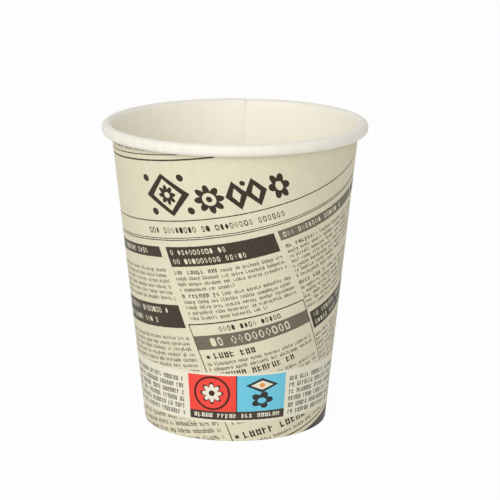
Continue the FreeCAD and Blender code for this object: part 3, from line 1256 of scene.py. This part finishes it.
@dataclass
class PressedBase:
    """The base: a disc whose edge is turned down into a skirt that follows the lean of the wall."""

    cup: CupSizes
    columns: int = 240
    flat_stations: int = 16
    bend_stations: int = 10
    pole_radius: float = 1.5
    bend_clear: float = 0.2

    def at_height(self, point: np.ndarray, height: float) -> np.ndarray:
        """Point at a height, on the line through a point and parallel to the wall."""
        return point + np.array([math.tan(self.cup.lean), 1.0]) * (height - point[1])

    def section(self) -> np.ndarray:
        """Outline in the half-plane of radius and height, from the axis over the skirt and back to it.

        The bend is centre + radius * (cos, sin), from straight up round to square with the wall.

        Returns:
            Radius and height of each point, one row each.
        """
        cup, lean = self.cup, self.cup.lean
        out = np.array([math.cos(lean), -math.sin(lean)])
        line = np.array(cup.corner) - out * cup.fit
        centre = self.at_height(line - out * cup.base_bend, cup.base_level - cup.base_bend)
        tip = self.at_height(line, cup.sheet + cup.skirt_gap)
        angle = np.linspace(math.pi / 2, -lean, self.bend_stations)
        ring = np.stack([np.cos(angle), np.sin(angle)], axis=1)
        flat = np.linspace(self.pole_radius, centre[0] - self.bend_clear, self.flat_stations)
        top = np.stack([flat, np.full(len(flat), cup.base_level)], axis=1)
        outer = centre + cup.base_bend * ring
        inner = centre + (cup.base_bend - cup.base_sheet) * ring[::-1]
        below = top[::-1] - [0, cup.base_sheet]
        return np.concatenate([top, outer, [tip, tip - out * cup.base_sheet], inner, below])

    def build(self) -> bpy.types.Object:
        """Turn the section round the axis and close both poles with a small fan.

        Returns:
            The piece.
        """
        radius, height = self.section().T
        angle = np.linspace(0, 2 * math.pi, self.columns, endpoint=False)[:, None]
        ring = np.stack([radius * np.cos(angle), radius * np.sin(angle), height + 0 * angle], axis=-1)
        index = np.arange(ring.shape[0] * ring.shape[1]).reshape(ring.shape[:2])
        after = np.roll(index, -1, axis=0)
        quads = np.stack([index[:, :-1], index[:, 1:], after[:, 1:], after[:, :-1]], axis=-1)
        level = self.cup.base_level
        poles = np.array([[0, 0, level], [0, 0, level - self.cup.base_sheet]])
        points = np.concatenate([ring.reshape(-1, 3), poles])
        top, bottom = len(points) - 2, len(points) - 1
        fans = [(top, int(a), int(b)) for a, b in zip(index[:, 0], after[:, 0])]
        fans += [(bottom, int(b), int(a)) for a, b in zip(index[:, -1], after[:, -1])]
        faces = quads.reshape(-1, 4).tolist() + fans
        return build_mesh("pressed_base", points, faces, np.zeros(len(faces)))


@dataclass(frozen=True)
class Stand:
    """Camera, lamps and floor. A lamp is its name, place in metres, power in watts and width in metres."""

    distance: float = 0.72
    height: float = 0.0919
    elevation: float = 13.95
    focal_px: float = 2363.3
    frame_px: float = 500.0
    pan_px: float = -14.93
    tilt_px: float = 19.16
    roll: float = 0.0375
    sensor: float = 36.0
    ambient: float = 0.56
    key: tuple = ("key_lamp", (-0.75, -0.95, 0.75), 5.6, 0.7)
    fill: tuple = ("fill_lamp", (0.0, -1.3, 0.5), 4.8, 0.9)
    floor_half: float = 3.0
    floor_colour: tuple = (0.9, 0.9, 0.9, 1.0)
    glow_share: float = 0.96

    def camera(self) -> bpy.types.Object:
        """Set the camera where the cup was seen from, panned and tilted to its place in the frame.

        Returns:
            The camera.
        """
        data = bpy.data.cameras.new("front_camera")
        data.sensor_width = self.sensor
        data.lens = self.focal_px / self.frame_px * self.sensor
        camera = bpy.data.objects.new("front_camera", data)
        bpy.context.scene.collection.objects.link(camera)
        rise = math.radians(self.elevation)
        away = self.distance * math.cos(rise)
        place = Vector((0, -away, self.height / 2 + self.distance * math.sin(rise)))
        ahead = Vector((0, math.cos(rise), -math.sin(rise)))
        right = Vector((1, 0, 0))
        up = right.cross(ahead)
        pan = Matrix.Rotation(math.atan(self.pan_px / self.focal_px), 3, up)
        ahead, right = pan @ ahead, pan @ right
        ahead = Matrix.Rotation(math.atan(self.tilt_px / self.focal_px), 3, right) @ ahead
        up = right.cross(ahead)
        turn = Matrix.Rotation(math.radians(self.roll), 3, ahead)
        right, up = turn @ right, turn @ up
        camera.matrix_world = Matrix.Translation(place) @ Matrix((right, up, -ahead)).transposed().to_4x4()
        bpy.context.scene.camera = camera
        return camera

    def lamps(self) -> None:
        """Hang a soft key lamp at the front left and a weak broad one in front."""
        middle = Vector((0, 0, self.height / 2))
        for name, place, watts, size in (self.key, self.fill):
            data = bpy.data.lights.new(name, "AREA")
            data.energy = watts
            data.size = size
            lamp = bpy.data.objects.new(name, data)
            lamp.location = place
            lamp.rotation_euler = (middle - lamp.location).to_track_quat("-Z", "Y").to_euler()
            bpy.context.scene.collection.objects.link(lamp)

    def surroundings(self) -> None:
        """Give the world a plain soft light, and show it white to the camera and in reflections."""
        s = Shader(bpy.data.worlds.new("white_room"))
        seen = s.seen()
        lit = s.add("Background", {"Color": WHITE, "Strength": self.ambient})
        shown = s.add("Background", {"Color": WHITE, "Strength": 1.0})
        s.add("OutputWorld", {"Surface": s.add("MixShader", {0: seen, 1: lit, 2: shown})})
        bpy.context.scene.world = s.owner

    def floor(self) -> bpy.types.Object:
        """Lay a wide white floor, which takes the cup's shadow and can be looked through from below.

        Returns:
            The floor.
        """
        half = self.floor_half
        corners = [(-half, -half, 0), (half, -half, 0), (half, half, 0), (-half, half, 0)]
        mesh = bpy.data.meshes.new("floor")
        mesh.from_pydata(corners, [], [(0, 1, 2, 3)])
        floor = bpy.data.objects.new("floor", mesh)
        bpy.context.scene.collection.objects.link(floor)
        s = Shader.named("white_floor")
        matt = s.add("BsdfDiffuse", {"Color": self.floor_colour})
        glow = s.add("Emission", {"Color": WHITE, "Strength": 1.0})
        share = s.times(s.seen(), self.glow_share)
        top = s.add("MixShader", {0: share, 1: matt, 2: glow})
        behind = s.add("NewGeometry", {}, "Backfacing")
        clear = s.add("BsdfTransparent", {})
        s.add("OutputMaterial", {"Surface": s.add("MixShader", {0: behind, 1: top, 2: clear})})
        mesh.materials.append(s.owner)
        return floor

    def build(self) -> None:
        """Set up the whole stand."""
        self.camera()
        self.lamps()
        self.surroundings()
        self.floor()
        bpy.context.scene.view_settings.view_transform = "Standard"


def main() -> None:
    """Build the cup, its finishes and its stand, and report each piece."""
    cup = CupSizes()
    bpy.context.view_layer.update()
    sheet = SideSheet(cup).build()
    for finish in (PrintedPaper(), CoatedPaper(crimped=True), CutEdge()):
        sheet.data.materials.append(finish.make())
    base = PressedBase(cup).build()
    base.data.materials.append(CoatedPaper("base_board").make())
    for piece, node, slot in ((sheet, "side_wall", "side_paper"), (base, "base_disc", "base_paper")):
        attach(piece, "root")
        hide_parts(node)
        log.info("%s: %d faces", piece.name, len(piece.data.polygons))
    Stand().build()


if __name__ == "__main__":
    main()
